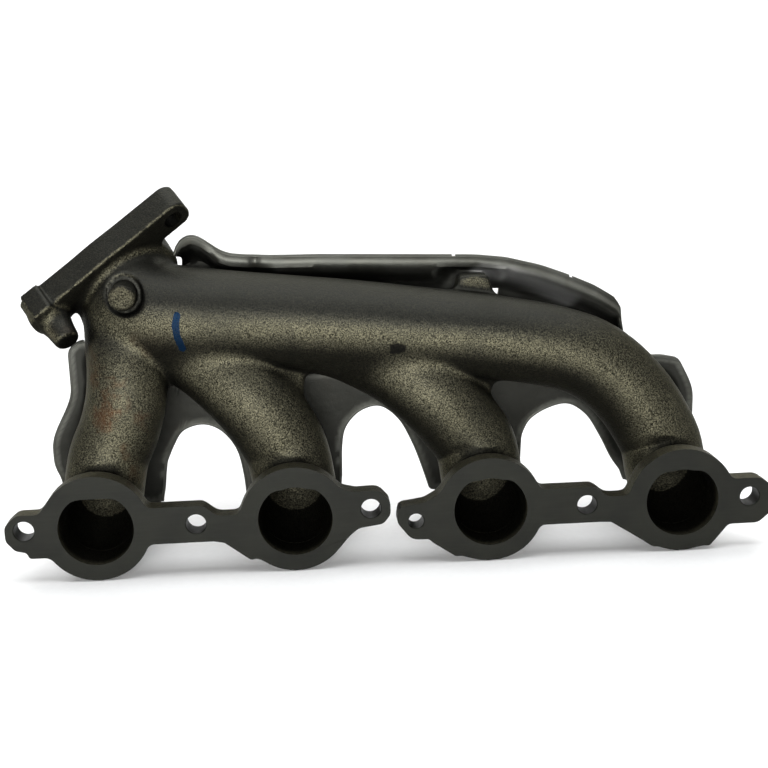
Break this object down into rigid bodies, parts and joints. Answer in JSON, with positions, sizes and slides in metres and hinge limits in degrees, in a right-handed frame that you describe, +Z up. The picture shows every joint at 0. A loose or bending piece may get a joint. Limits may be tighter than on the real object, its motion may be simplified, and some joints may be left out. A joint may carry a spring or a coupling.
{
  "type": "exhaust manifold",
  "caption": "Cast-iron log exhaust manifold with round-port head plates, curved runners, a slanted three-lug outlet flange and a bolted sandwich heat shield behind.",
  "frame": {"origin": "on the machined head face, midway between the two middle ports at the height of the port centres", "axes": "+X along the head towards the closed end of the log, +Y away from the cylinder head, +Z up towards the log and the outlet"},
  "size_m": [0.4389, 0.1352, 0.2147],
  "materials": {
    "cast_iron": "as cast, fine grain, faces machined smooth",
    "shield_steel": "dull aluminised sheet",
    "insulation": "pressed fibre mat",
    "bolt_steel": "phosphated",
    "wire_mesh": "pressed knitted wire"
  },
  "bodies": {
    "root": {"manifold_casting": "cast_iron", "heat_shield_inner_skin": "shield_steel", "heat_shield_insulation": "insulation", "heat_shield_outer_skin": "shield_steel", "shield_isolator_log_right": "wire_mesh", "shield_sleeve_log_right": "bolt_steel", "shield_washer_log_right": "bolt_steel", "shield_bolt_log_right": "bolt_steel", "shield_isolator_log_left": "wire_mesh", "shield_sleeve_log_left": "bolt_steel", "shield_washer_log_left": "bolt_steel", "shield_bolt_log_left": "bolt_steel", "shield_isolator_runner_1": "wire_mesh", "shield_sleeve_runner_1": "bolt_steel", "shield_washer_runner_1": "bolt_steel", "shield_bolt_runner_1": "bolt_steel", "shield_isolator_runner_4": "wire_mesh", "shield_sleeve_runner_4": "bolt_steel", "shield_washer_runner_4": "bolt_steel", "shield_bolt_runner_4": "bolt_steel"}
  },
  "joints": []
}
